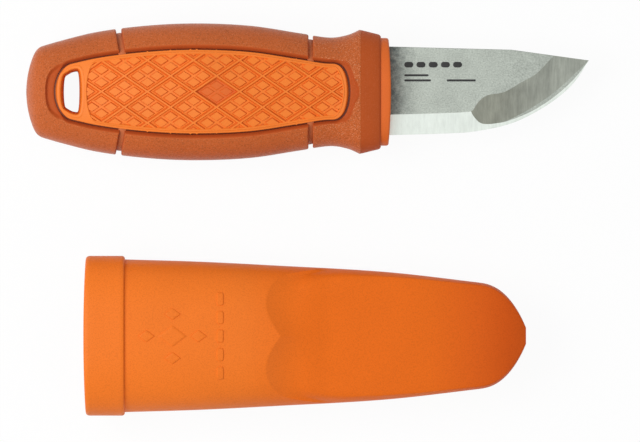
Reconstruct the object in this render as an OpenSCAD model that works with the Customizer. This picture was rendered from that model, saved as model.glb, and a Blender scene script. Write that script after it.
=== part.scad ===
// A compact fixed-blade sheath knife, lying beside its one-piece moulded sheath.
// +X runs along both, from the butt of the knife to its tip. +Y is the back of the blade.
// The origin is under the middle of the pair, on the surface they lie on.

/* [Handle] */
// Length of the handle, from the butt to the front of the collar
handle_len = 92.7; // [80:0.1:112]
// Width of the butt, where its sides would meet the end face
butt_w = 20.8; // [17:0.1:25]
// Radius of the butt's end face, seen from the side
butt_r = 24.5; // [20:0.1:30]
// Radius of the butt's end face, seen from above
butt_crown_r = 12.5; // [11:0.1:15]
// Greatest width of the handle, at its belly
belly_w = 34.8; // [32:0.1:42]
// Distance of the belly from the butt
belly_at = 43.7; // [36:0.1:52.5]
// Width of the handle at the waist behind the guard
waist_w = 27.6; // [25:0.1:30]
// Distance of the waist behind the front of the collar
waist_back = 15.4; // [12.8:0.1:18.5]
// Width of the handle across the peaks of the guard
guard_w = 31.6; // [29.5:0.1:34]
// Distance of the guard's peaks behind the front of the collar
guard_back = 7.9; // [6.6:0.1:9.5]
// Width of the guard where it meets the collar
guard_front_w = 29; // [28:0.1:31]
// Thickness of the handle at its belly
handle_t = 22; // [19:0.1:26.4]
// Thickness of the handle at its waist
waist_t = 18.6; // [17:0.1:19.5]
// Width of the hard collar in front of the guard
collar_w = 27.4; // [25:0.1:28]
// Thickness of the hard collar
collar_t = 15.6; // [13:0.1:17.5]
// Length of the hard collar
collar_len = 2; // [1.6:0.1:2.5]

/* [Grip] */
// Width of the soft rim round each hard side panel
rim_w = 6; // [5:0.1:7.2]
// Thickness of the soft rim over the edge of the hard core
rubber_t = 2.6; // [2:0.1:3.2]
// Distance of each side panel from the butt
panel_start = 7.5; // [6.5:0.1:8]
// Distance from each side panel to the front of the collar
panel_back = 10.7; // [9.5:0.1:12]
// Depth of the side panels and of the grooves below the soft surface
groove_depth = 0.45; // [0.3:0.05:0.6]
// Width of the two grooves near the butt
rear_groove_w = 1.4; // [1.1:0.1:1.8]
// Distance of the rear grooves from the butt
rear_groove_at = 23.4; // [20:0.1:28]
// Width of the two grooves behind the guard
front_groove_w = 1.1; // [0.9:0.1:1.4]
// Distance of the front grooves behind the front of the collar
front_groove_back = 20.4; // [18.5:0.1:24]

/* [Lanyard slot] */
// Distance of the slot from the butt
slot_at = 9.2; // [8.8:0.1:10]
// Width of the slot along the handle
slot_w = 4.7; // [4.5:0.1:5.6]
// Length of the slot across the handle
slot_len = 10.6; // [9:0.1:12]

/* [Blade] */
// Length of the blade in front of the collar
blade_len = 50.3; // [42:0.1:60]
// Depth of the blade at the collar
blade_w = 22.5; // [20:0.1:24.5]
// Thickness of the blade
blade_t = 2; // [1.6:0.1:2.4]
// Height of the ground bevel above the cutting edge
bevel_h = 5.2; // [4.3:0.1:6.2]
// Distance of the tip above the middle line of the handle
tip_rise = 8; // [6.6:0.1:9.6]
// Length of the tang inside the handle
tang_len = 66; // [55:0.1:70]
// Width of the tang
tang_w = 13; // [10.8:0.1:15]
// Radius of the holes that lock the core round the tang
tang_hole_r = 2.4; // [2:0.1:3]

/* [Sheath] */
// Length of the handle that stands out of the sheath when the knife is home
handle_out = 36.9; // [31:0.1:42]
// Free space between the handle and the sheath's pocket
fit_gap = 0.25; // [0.15:0.05:0.4]
// Wall of the sheath at its mouth
mouth_wall = 2.65; // [2.2:0.05:3.2]
// Wall of the sheath beside the guard
side_wall = 1.85; // [1.5:0.05:2.3]
// Length of the raised band round the mouth
band_len = 10.4; // [8.6:0.1:12.5]
// Height of the raised band above the body of the sheath
band_step = 0.9; // [0.7:0.1:1.1]
// Free space in front of the tip of the blade
tip_gap = 2.2; // [1.5:0.1:3]
// Thickness of the end wall at the toe, through which the drain hole runs
toe_wall = 4; // [3.3:0.1:4.8]
// Space for the blade, across its thickness
blade_slot_t = 4.6; // [4.4:0.1:5.4]
// Space beside the back and the edge of the blade
blade_side_gap = 0.8; // [0.6:0.1:1.2]
// Thickness of the sheath over the blade, at the toe
toe_t = 9; // [8.4:0.1:11]
// Radius of the drain and cord hole in the toe
drain_r = 1.8; // [1.5:0.1:2.1]
// Amount by which the two catches inside the pocket stand in the guard's way
catch = 0.3; // [0.2:0.05:0.4]

/* [Layout] */
// Free space between the handle and the sheath as they lie side by side
side_gap = 24.3; // [15:0.1:40]
// Distance of the sheath's mouth from the butt, measured along X
sheath_shift = 14.7; // [0:0.1:30]

/* [Hidden] */
ring_n = 32;          // points round each lofted section
section_n = 2.6;      // squareness of the lofted sections: 2 is an ellipse
slot_n = 8;           // squareness of the space for the blade
big = 400;            // longer than anything here

waist_at = handle_len - waist_back;
guard_at = handle_len - guard_back;
collar_at = handle_len - collar_len;
panel_end = handle_len - panel_back;
plate_t = waist_t - 2 * rubber_t;
front_groove_at = handle_len - front_groove_back;
sheath_len = blade_len + handle_len - handle_out + tip_gap + toe_wall;
guard_in = guard_at - handle_out;      // guard's peaks, from the mouth, when the knife is home
collar_in = handle_len - handle_out;   // front of the collar, from the mouth
catch_in = guard_in - 5;               // the catches sit just behind the guard
blade_in = collar_in + blade_len;      // tip of the blade, from the mouth
cover_t = 1.7;                         // wall of the sheath over the broad faces
widest = max(belly_w, guard_w);        // what has to pass the mouth
mouth_half = widest / 2 + fit_gap + mouth_wall;
mouth_thick = handle_t / 2 + fit_gap + mouth_wall;
total_y = widest + side_gap + 2 * mouth_half;
total_x = max(handle_len + blade_len, sheath_shift + sheath_len);
knife_origin = [-total_x / 2, total_y / 2 - widest / 2, handle_t / 2];
sheath_origin = [sheath_shift - total_x / 2, mouth_half - total_y / 2, mouth_thick];

// ---- curves ----
function mix(a, b, t) = a + (b - a) * t;
function soft_min(a, b, k) = min(a, b) - pow(max(k - abs(a - b), 0), 2) / (4 * k);
function span_of(k, x, i = 0) = i >= len(k) - 2 || x < k[i + 1][0] ? i : span_of(k, x, i + 1);
function slope(k, i) =
    let (a = max(i - 1, 0), b = min(i + 1, len(k) - 1))
    (k[b][1] - k[a][1]) / (k[b][0] - k[a][0]);
// A smooth curve through the knots [x, value]
function curve(k, x) =
    let (
        i = span_of(k, x),
        w = k[i + 1][0] - k[i][0],
        t = (x - k[i][0]) / w,
        rise = slope(k, i) * w,
        fall = slope(k, i + 1) * w
    )
    (2 * t * t * t - 3 * t * t + 1) * k[i][1] + (t * t * t - 2 * t * t + t) * rise
    + (3 * t * t - 2 * t * t * t) * k[i + 1][1] + (t * t * t - t * t) * fall;

// ---- the handle's outer form, in its own frame: x from the butt, y and z from its middle line ----
side_knots = [
    [0, butt_w / 2],
    [0.2 * belly_at, mix(butt_w, belly_w, 0.37) / 2],
    [0.42 * belly_at, mix(butt_w, belly_w, 0.7) / 2],
    [0.72 * belly_at, mix(butt_w, belly_w, 0.93) / 2],
    [belly_at, belly_w / 2],
    [mix(belly_at, waist_at, 0.4), mix(belly_w, waist_w, 0.17) / 2],
    [mix(belly_at, waist_at, 0.77), mix(belly_w, waist_w, 0.69) / 2],
    [waist_at, waist_w / 2],
    [mix(waist_at, guard_at, 0.6), mix(waist_w, guard_w, 0.35) / 2],
    [guard_at, guard_w / 2]
];
thick_knots = [
    [0, handle_t / 2 - 2],
    [belly_at, handle_t / 2],
    [waist_at, waist_t / 2],
    [guard_at, waist_t / 2 + 0.4]
];
function end_arc(x, r) = x < r ? sqrt(x * (2 * r - x)) : big;
function guard_slope(x) = (x - guard_at) / (collar_at - guard_at);
function handle_half(x) =
    x > guard_at ? mix(guard_w, guard_front_w, guard_slope(x)) / 2
    : soft_min(end_arc(x, butt_r), curve(side_knots, x), 2);
function handle_thick(x) =
    x > guard_at ? mix(curve(thick_knots, guard_at), collar_t / 2 + 0.8, guard_slope(x))
    : soft_min(end_arc(x, butt_crown_r), curve(thick_knots, x), 3);
handle_stations = concat(
    [for (i = [1:7]) 0.12 * i * i],
    [for (i = [1:18]) mix(6, guard_at, i / 18)],
    [for (i = [1:3]) mix(guard_at, collar_at, i / 3)]
);

// ---- the pocket: at each depth it clears every part of the handle that passes there ----
function passing(s) = [for (i = [0:20]) mix(min(s + handle_out, guard_at), collar_at, i / 20)];
function pocket_half(s) =
    (s > guard_in ? mix(guard_w / 2, collar_w / 2 + 1, (s - guard_in) / (collar_in - guard_in))
    : max([for (x = passing(s)) handle_half(x)])) + fit_gap
    - (abs(s - catch_in) < 0.1 ? fit_gap + catch + pocket_spare(s) : 0);
// Room beside the guard's peaks at the catches, so that the catches stand in their way
function pocket_spare(s) = max([for (x = passing(s)) handle_half(x)]) - guard_w / 2;
function pocket_thick(s) =
    (s > guard_in ? mix(handle_thick(guard_at), collar_t / 2 + 0.6, (s - guard_in) / (collar_in - guard_in))
    : max([for (x = passing(s)) handle_thick(x)])) + fit_gap;

// ---- the sheath's outer form: s from the mouth ----
toe_half = blade_w / 2 + blade_side_gap + 2.1;   // half width where the toe starts to round
toe_from = sheath_len - 12;
outer_half_knots = [
    [band_len + 0.4, mouth_half - band_step],
    [0.55 * guard_in + 3, mix(mouth_half - band_step, guard_w / 2 + fit_gap + side_wall, 0.38)],
    [guard_in, guard_w / 2 + fit_gap + side_wall],
    [mix(guard_in, toe_from, 0.55), mix(guard_w / 2 + fit_gap + side_wall, toe_half, 0.45)],
    [toe_from, toe_half - 0.6],
    [sheath_len + 4, toe_half - 2.6]
];
scoop_from = guard_in - 1.4;   // where the two lobes of the scoop reach back furthest
lobe_knots = [[0, 3.3], [0.12, 2], [0.28, 0.5], [0.45, 0], [0.65, 1], [0.85, 4], [1, 9]];
scoop_drop = collar_t / 2 + 0.6 + fit_gap + cover_t;   // half thickness at the collar
outer_thick_knots = [
    [band_len + 0.4, mouth_thick - band_step],
    [scoop_from, mouth_thick - 1.7],
    [scoop_from + 1, mouth_thick - 2.5],
    [mix(scoop_from, collar_in, 0.45), mix(mouth_thick - 1.7, scoop_drop, 0.66)],
    [collar_in, scoop_drop],
    [collar_in + 7, mix(scoop_drop, toe_t / 2, 0.55)],
    [mix(collar_in, toe_from, 0.6), mix(scoop_drop, toe_t / 2, 0.86)],
    [toe_from, toe_t / 2 + 0.2],
    [sheath_len + 4, toe_t / 2]
];
function toe_round(s) = s < toe_from ? 1 : pow(1 - pow((s - toe_from) / (sheath_len + 0.45 - toe_from), 2.3), 0.6);
function band_crown(s) = -0.8 * pow(max(0.9 - s, 0) / 0.9, 2) - 0.25 * pow(abs(s - 5) / 5, 2);
function outer_half(s) =
    s <= band_len ? mouth_half + band_crown(s) : curve(outer_half_knots, s) * toe_round(s);
function outer_thick(s) =
    s <= band_len ? mouth_thick + band_crown(s)
    : curve(outer_thick_knots, s) * mix(1, toe_round(s), 0.6);
// A section of the outside, where the scoop starts later between its lobes and at their ends
function outer_ring(s) = [
    for (p = ring(s, outer_half(s), 1))
        let (lag = s > band_len + 1 ? curve(lobe_knots, abs(p[1]) / outer_half(s)) : 0)
        [s, p[1], p[2] * outer_thick(max(s - lag, min(s, band_len + 1)))]
];
blade_slot_half = blade_w / 2 + blade_side_gap;
slot_stop = blade_in + tip_gap;
function slot_round(s) = pow(1 - pow(max(s - slot_stop + 7, 0) / 7.3, 2.3), 0.6);

function turned(points) = [for (i = [len(points) - 1:-1:0]) points[i]];

// ---- lofts ----
function power(v, p) = sign(v) * pow(abs(v), p);
function ring(x, half, thick, squareness = section_n) = [
    for (i = [0:ring_n - 1])
        let (a = 360 * i / ring_n)
        [x, half * power(cos(a), 2 / squareness), thick * power(sin(a), 2 / squareness)]
];
// A closed solid through a list of sections with the same number of points
module loft(rings) {
    n = len(rings[0]);
    last = len(rings) - 1;
    points = [for (r = rings) each r];
    sides = [
        for (j = [0:last - 1])
            for (i = [0:n - 1])
                let (k = (i + 1) % n, a = j * n, b = a + n)
                each [[a + i, b + k, a + k], [a + i, b + i, b + k]]
    ];
    near = [[for (i = [0:n - 1]) i]];
    far = [[for (i = [n - 1:-1:0]) last * n + i]];
    polyhedron(points = points, faces = concat(near, sides, far), convexity = 6);
}

// The handle's form, with its whole surface set in by a distance
module handle_form(inset) {
    loft([
        for (x = handle_stations)
            ring(x == handle_stations[0] ? inset : x, handle_half(x) - inset, handle_thick(x) - inset)
    ]);
}

// An outline that is the same above and below the middle line, from [x, half] pairs
module mirrored_outline(pairs) {
    polygon(concat([for (p = pairs) [p[0], -p[1]]], turned(pairs)));
}

module through(depth) {
    translate([0, 0, -depth / 2])
        linear_extrude(depth)
            children();
}

// ---- the hard core ----
function end_round(d, r) = d >= r ? 1 : sqrt(1 - pow(1 - max(d, 0) / r, 2.4));
function panel_half(x) =
    max((handle_half(x) - rim_w) * end_round(x - panel_start, 4) * end_round(panel_end - x, 4.5), 0.6);
module panel_outline() {
    steps = 30;
    mirrored_outline([
        for (i = [0:steps])
            let (x = mix(panel_start, panel_end, (1 - cos(180 * i / steps)) / 2))
            [x, panel_half(x)]
    ]);
}
module plate_outline() {
    steps = 24;
    mirrored_outline([
        for (i = [0:steps])
            let (x = mix(rubber_t, handle_len - 0.6, i / steps))
            [x, min(handle_half(x) - rubber_t, x > collar_at ? collar_w / 2 - 1 : big)]
    ]);
}
// The rear grooves lean towards the front as they near the panel
groove_lean = 1.9;
groove_foot = 7;   // where the grooves end, hidden in the panel
function rear_line(offset, side) = [
    [rear_groove_at + offset - 0.4 * groove_lean, side * belly_w],
    [rear_groove_at + offset + 0.6 * groove_lean, side * groove_foot]
];
function front_line(offset, side) = [
    [front_groove_at + offset, side * belly_w],
    [front_groove_at + offset, side * groove_foot]
];
// The stretch between two such lines, on one side of the middle line
module between(left, right, side) {
    around = concat(left, turned(right));
    polygon(side > 0 ? around : turned(around));
}
module groove_strips() {
    for (side = [-1, 1]) {
        between(rear_line(-rear_groove_w / 2, side), rear_line(rear_groove_w / 2, side), side);
        between(front_line(-front_groove_w / 2, side), front_line(front_groove_w / 2, side), side);
    }
}
module core_prisms() {
    through(plate_t) plate_outline();
    through(handle_t + 10) panel_outline();
    through(handle_t + 14) groove_strips();
}
module collar() {
    loft([
        for (t = [0:4])
            ring(
                mix(collar_at, handle_len, t / 4),
                collar_w / 2 - 1.2 * pow(t / 4, 3),
                collar_t / 2 - 1.2 * pow(t / 4, 3)
            )
    ]);
}
module slot_outline() {
    rear = slot_len * 0.34;
    front = slot_len / 2;
    mirrored_outline([
        [slot_at, rear - 0.5],
        [slot_at + 0.3, rear],
        [slot_at + slot_w * 0.5, front - 0.5],
        [slot_at + slot_w * 0.7, front],
        [slot_at + slot_w - 0.5, front],
        [slot_at + slot_w, front - 0.6]
    ]);
}
module handle_core() {
    color("orange")
        translate(knife_origin)
            difference() {
                union() {
                    intersection() {
                        handle_form(groove_depth);
                        core_prisms();
                    }
                    collar();
                }
                through(big) slot_outline();
                blade_steel();
            }
}

// ---- the soft grips: what is left of the handle's form round the core ----
module grip() {
    color("chocolate")
        translate(knife_origin)
            difference() {
                intersection() {
                    handle_form(0);
                    through(big) children();
                }
                through(plate_t) plate_outline();
                through(big) panel_outline();
            }
}
module rim_region(side) {
    between(rear_line(rear_groove_w / 2, side), front_line(-front_groove_w / 2, side), side);
}
module butt_grip() {
    edge = -rear_groove_w / 2;
    grip()
        polygon(concat(
            [[-1, belly_w], [-1, -belly_w]],
            rear_line(edge, -1),
            turned(rear_line(edge, 1))
        ));
}
module upper_grip() grip() rim_region(1);
module lower_grip() grip() rim_region(-1);
module guard_grip() {
    edge = front_groove_w / 2;
    grip()
        polygon(concat(
            front_line(edge, 1),
            turned(front_line(edge, -1)),
            [[handle_len, -belly_w], [handle_len, belly_w]]
        ));
}

// ---- the blade ----
spine_knots = [[0, blade_w / 2 + 0.25], [0.61 * blade_len, blade_w / 2 - 0.55]];
edge_knots = [
    [0, -blade_w / 2 + 0.25],
    [0.27 * blade_len, -blade_w / 2 + 0.65],
    [0.42 * blade_len, -blade_w / 2 + 1.15],
    [0.6 * blade_len, mix(-blade_w / 2, tip_rise, 0.16)],
    [0.72 * blade_len, mix(-blade_w / 2, tip_rise, 0.3)],
    [0.84 * blade_len, mix(-blade_w / 2, tip_rise, 0.5)],
    [0.93 * blade_len, mix(-blade_w / 2, tip_rise, 0.72)],
    [blade_len, tip_rise - 0.3]
];
clip_at = 0.61 * blade_len;
function spine(x) =
    x < clip_at ? mix(spine_knots[0][1], spine_knots[1][1], x / clip_at)
    : mix(spine_knots[1][1], tip_rise, (x - clip_at) / (blade_len - clip_at));
function edge(x) = x < 0 ? edge_knots[0][1] : curve(edge_knots, x);
function bevel_top(x) = min(edge(x) + bevel_h, mix(edge(x), spine(x), 0.8));
edge_t = 0.1;      // flat left on the cutting edge
root_len = 8;      // stretch of full-depth blade held inside the handle
function tip_thin(x) = mix(1, 0.25, pow(max(x / blade_len - 0.5, 0) * 2, 1.5));
function blade_section(x) =
    let (t = blade_t / 2 * tip_thin(x), e = edge_t / 2, at = handle_len + x)
    [
        [at, spine(x), -t], [at, spine(x), t], [at, bevel_top(x), t],
        [at, edge(x), e], [at, edge(x), -e], [at, bevel_top(x), -t]
    ];
module blade_steel() {
    steps = 26;
    difference() {
        translate([handle_len - tang_len, -tang_w / 2, -blade_t / 2])
            cube([tang_len - root_len + 1, tang_w, blade_t]);
        for (i = [0:2])
            translate([handle_len - tang_len + 7 + 17 * i, 0, 0])
                cylinder(r = tang_hole_r, h = 2 * blade_t, center = true, $fn = 48);
    }
    loft(concat([blade_section(-root_len)], [for (i = [0:steps]) blade_section(blade_len * sin(90 * i / steps))]));
}
module blade() {
    color("lightsteelblue")
        translate(knife_origin)
            blade_steel();
}

// ---- the sheath: its outer sections run up from the toe to the mouth, and its inner ones back down ----
outer_stations = concat(
    [for (i = [0:9]) sheath_len - 12 * pow(i / 9, 1.6)],
    [for (i = [1:5]) mix(sheath_len - 12, collar_in + 4, i / 5)],
    [for (i = [1:10]) mix(collar_in + 4, scoop_from - 0.6, i / 10)],
    [for (i = [1:4]) mix(scoop_from - 0.6, band_len + 0.5, i / 4)],
    [band_len, band_len - 0.8, 5, 1, 0.4, 0]
);
pocket_stations = concat(
    [for (i = [0:4]) mix(0, catch_in - 1.2, i / 4)],
    [catch_in, catch_in + 1.2, guard_in, mix(guard_in, collar_in, 0.5), collar_in]
);
slot_stations = concat(
    [collar_in + 0.6, mix(collar_in, slot_stop, 0.4)],
    [for (i = [6:-1:0]) slot_stop - 7 * pow(i / 6, 1.4)]
);
module sheath_solid() {
    outer = [for (s = outer_stations) outer_ring(s)];
    pocket = [for (s = pocket_stations) ring(s, pocket_half(s), pocket_thick(s))];
    slot = [for (s = slot_stations) ring(s, blade_slot_half * slot_round(s), blade_slot_t / 2, slot_n)];
    loft([for (r = concat(outer, pocket, slot)) turned(r)]);
}
module sheath() {
    color("darkorange")
        translate(sheath_origin)
            difference() {
                sheath_solid();
                translate([slot_stop - 1, 0, 0])
                    rotate([0, 90, 0])
                        cylinder(r = drain_r, h = toe_wall + 2, $fn = 48);
            }
}

blade();
handle_core();
butt_grip();
upper_grip();
lower_grip();
guard_grip();
sheath();
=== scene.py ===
"""A compact sheath knife beside its moulded sheath: one operator for each piece or group of pieces."""
import math

import bmesh
import bpy
from bpy.props import FloatProperty, FloatVectorProperty, PointerProperty
from mathutils import Matrix, Vector


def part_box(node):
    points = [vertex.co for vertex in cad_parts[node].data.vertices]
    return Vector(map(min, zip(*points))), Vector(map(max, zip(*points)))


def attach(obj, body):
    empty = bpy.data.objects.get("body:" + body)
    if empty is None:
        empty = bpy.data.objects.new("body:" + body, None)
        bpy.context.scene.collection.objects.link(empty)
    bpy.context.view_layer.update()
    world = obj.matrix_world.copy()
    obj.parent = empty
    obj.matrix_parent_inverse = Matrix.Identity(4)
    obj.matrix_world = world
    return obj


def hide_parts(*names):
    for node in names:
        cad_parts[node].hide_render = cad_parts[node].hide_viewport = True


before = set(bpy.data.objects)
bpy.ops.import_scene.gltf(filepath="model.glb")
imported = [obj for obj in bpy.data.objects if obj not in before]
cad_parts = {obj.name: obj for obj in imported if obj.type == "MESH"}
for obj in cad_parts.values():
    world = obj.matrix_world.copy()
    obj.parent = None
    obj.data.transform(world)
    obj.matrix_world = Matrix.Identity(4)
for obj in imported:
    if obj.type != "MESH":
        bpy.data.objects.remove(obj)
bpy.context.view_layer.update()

bl_info = {
    "name": "Sheath Knife",
    "version": (1, 0, 0),
    "blender": (4, 5, 0),
    "location": "View3D > Sidebar > Sheath Knife",
    "description": "Builds a sheath knife and its moulded sheath around their measured frame",
    "category": "Add Mesh",
}

MM = 0.001          # every shape below is worked out in millimetres
SQUARE = 2.6        # squareness of the moulded sections: 2 is an ellipse
ROUND_POWER = 2.4   # how full the rounded ends of flat outlines are: 2 is a circle


def frame_place(start_node, nodes):
    """Where a body's own zero lies in the frame: the start of one node, on the middle line of them all."""
    lows = [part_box(node)[0] for node in nodes]
    highs = [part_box(node)[1] for node in nodes]
    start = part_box(start_node)[0].x
    middle = [(min(low[i] for low in lows) + max(high[i] for high in highs)) / 2 for i in (1, 2)]
    return Vector((start, *middle))


KNIFE_PLACE = frame_place("butt_grip", ["butt_grip"])
SHEATH_PLACE = frame_place("sheath", ["sheath"])
HANDLE_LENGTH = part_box("handle_core")[1].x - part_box("butt_grip")[0].x
BLADE_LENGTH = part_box("blade")[1].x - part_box("handle_core")[1].x
SHEATH_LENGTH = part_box("sheath")[1].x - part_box("sheath")[0].x


# ---- numbers and curves ----

def srgb(red, green, blue):
    """A colour given as 0 to 255, in the linear values that shaders take."""
    def linear(value):
        value /= 255
        return value / 12.92 if value <= 0.04045 else ((value + 0.055) / 1.055) ** 2.4
    return (linear(red), linear(green), linear(blue))


def mix(a, b, t):
    return a + (b - a) * t


def ease(t):
    """0 below 0, 1 above 1, and a smooth rise between."""
    t = min(max(t, 0), 1)
    return t * t * (3 - 2 * t)


def soft_min(a, b, blend):
    return min(a, b) - max(blend - abs(a - b), 0) ** 2 / (4 * blend)


def curve(knots, x):
    """A smooth curve through the knots (x, value)."""
    last = len(knots) - 1
    i = next((j for j in range(last - 1) if x < knots[j + 1][0]), last - 1)

    def slope(j):
        a, b = max(j - 1, 0), min(j + 1, last)
        return (knots[b][1] - knots[a][1]) / (knots[b][0] - knots[a][0])

    width = knots[i + 1][0] - knots[i][0]
    t = (x - knots[i][0]) / width
    return (
        (2 * t**3 - 3 * t**2 + 1) * knots[i][1]
        + (t**3 - 2 * t**2 + t) * slope(i) * width
        + (3 * t**2 - 2 * t**3) * knots[i + 1][1]
        + (t**3 - t**2) * slope(i + 1) * width
    )


def end_round(distance, radius):
    """Takes a half width down to nothing at a rounded end."""
    if distance >= radius:
        return 1.0
    return math.sqrt(max(1 - (1 - max(distance, 0) / radius) ** ROUND_POWER, 0))


def power(value, exponent):
    return math.copysign(abs(value) ** exponent, value)


def on_section(angle, square=SQUARE):
    """The point at an angle round a unit section."""
    return power(math.cos(angle), 2 / square), power(math.sin(angle), 2 / square)


def rise(ratio, square=SQUARE):
    """Height of a unit section above a point that lies at a ratio of its half width."""
    return (1 - min(abs(ratio), 1) ** square) ** (1 / square)


# ---- paths in plan ----

def path_length(path):
    return sum((b - a).length for a, b in zip(path, path[1:]))


def point_at(path, distance):
    for a, b in zip(path, path[1:]):
        step = (b - a).length
        if distance <= step:
            return a.lerp(b, distance / step) if step > 0 else a.copy()
        distance -= step
    return path[-1].copy()


def even_points(path, count):
    length = path_length(path)
    return [point_at(path, length * i / count) for i in range(count + 1)]


def flipped(path):
    """The path's image on the other side of the middle line, run backwards."""
    return [Vector((spot.x, -spot.y)) for spot in reversed(path)]


def both_sides(path):
    """A path that ends on the middle line, and back along its image on the other side."""
    return path + flipped(path[:-1])


def lip(radius, depth, steps=5):
    """(distance from an edge, drop below the surface), up a wall and over its rounded lip."""
    arc = [math.radians(90 * i / steps) for i in range(steps + 1)]
    return [(0.0, depth)] + [(radius * (1 - math.cos(a)), radius * (1 - math.sin(a))) for a in arc]


def lipped_points(path, edge, count, at_end=True):
    """Even points along a path, each with its drop, and a wall and a lip at the open ends."""
    length = path_length(path)
    final = edge if at_end else [(0.0, 0.0)]
    start, end = edge[-1][0], length - final[-1][0]
    middle = [(mix(start, end, i / count), 0.0) for i in range(1, count)]
    spots = edge + middle + [(length - distance, drop) for distance, drop in reversed(final)]
    return [(point_at(path, distance), drop) for distance, drop in spots]


# ---- making meshes ----

def grid(columns, rows, place, paint=None):
    """A grid whose points are put in place by their column and row."""
    mesh = bmesh.new()
    bmesh.ops.create_grid(mesh, x_segments=columns, y_segments=rows, size=1)
    if paint:
        for face in mesh.faces:
            centre = face.calc_center_median()
            column = int((centre.x + 1) / 2 * columns)
            row = int((centre.y + 1) / 2 * rows)
            face.material_index = paint(column, row)
    for vert in mesh.verts:
        column = round((vert.co.x + 1) / 2 * columns)
        row = round((vert.co.y + 1) / 2 * rows)
        vert.co = place(column, row)
    return mesh


def absorb(mesh, other):
    """Adds the other mesh to this one."""
    held = bpy.data.meshes.new("held")
    other.to_mesh(held)
    other.free()
    mesh.from_mesh(held)
    bpy.data.meshes.remove(held)


def mirrored(mesh):
    """Adds the mesh's image below the middle plane, and joins the two where they meet."""
    bmesh.ops.mirror(
        mesh, geom=mesh.verts[:] + mesh.edges[:] + mesh.faces[:],
        matrix=Matrix.Identity(4), merge_dist=0.001, axis="Z",
    )
    return mesh


def painted(mesh, index):
    """Gives the whole mesh one of its piece's finishes."""
    for face in mesh.faces:
        face.material_index = index
    return mesh


def closed(mesh, gap=0.002):
    """Merges what meets, and turns every face outwards."""
    bmesh.ops.remove_doubles(mesh, verts=mesh.verts, dist=gap)
    bmesh.ops.dissolve_degenerate(mesh, edges=mesh.edges, dist=gap / 4)
    bmesh.ops.recalc_face_normals(mesh, faces=mesh.faces)
    return mesh


def tube(sections, columns):
    """A closed solid through (x, half width, half thickness, squareness) sections."""
    last = len(sections) + 1

    def place(column, row):
        x, half, thick, square = sections[min(max(row - 1, 0), len(sections) - 1)]
        across, up = on_section(math.tau * column / columns, square)
        spread = 0 if row in (0, last) else 1
        return Vector((x, half * across * spread, thick * up * spread))

    return closed(grid(columns, last, place))


def piece(name, mesh, place, materials, body, slot, *nodes, crease=40):
    """Puts a finished mesh in its place as an object that rides on a body and stands for CAD nodes."""
    bmesh.ops.transform(
        mesh, matrix=Matrix.Translation(place) @ Matrix.Scale(MM, 4), verts=mesh.verts
    )
    for face in mesh.faces:
        face.smooth = True
    for edge in mesh.edges:
        if len(edge.link_faces) == 2 and edge.calc_face_angle() > math.radians(crease):
            edge.smooth = False
    data = bpy.data.meshes.new(name)
    mesh.to_mesh(data)
    mesh.free()
    for material in materials:
        data.materials.append(material)
    made = bpy.data.objects.new(name, data)
    bpy.context.collection.objects.link(made)
    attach(made, body)
    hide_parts(*nodes)
    return made


def cut(mesh, cutter):
    """Takes the cutter's solid out of the mesh."""
    objects = []
    for name, source in (("kept", mesh), ("cutter", cutter)):
        data = bpy.data.meshes.new(name)
        source.to_mesh(data)
        source.free()
        objects.append(bpy.data.objects.new(name, data))
        bpy.context.collection.objects.link(objects[-1])
    kept, tool = objects
    step = kept.modifiers.new("cut", "BOOLEAN")
    step.operation = "DIFFERENCE"
    step.solver = "EXACT"
    step.object = tool
    evaluated = kept.evaluated_get(bpy.context.evaluated_depsgraph_get())
    result = bmesh.new()
    result.from_mesh(evaluated.to_mesh())
    evaluated.to_mesh_clear()
    for made in objects:
        data = made.data
        bpy.data.objects.remove(made)
        bpy.data.meshes.remove(data)
    return result


# ---- materials ----

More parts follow.
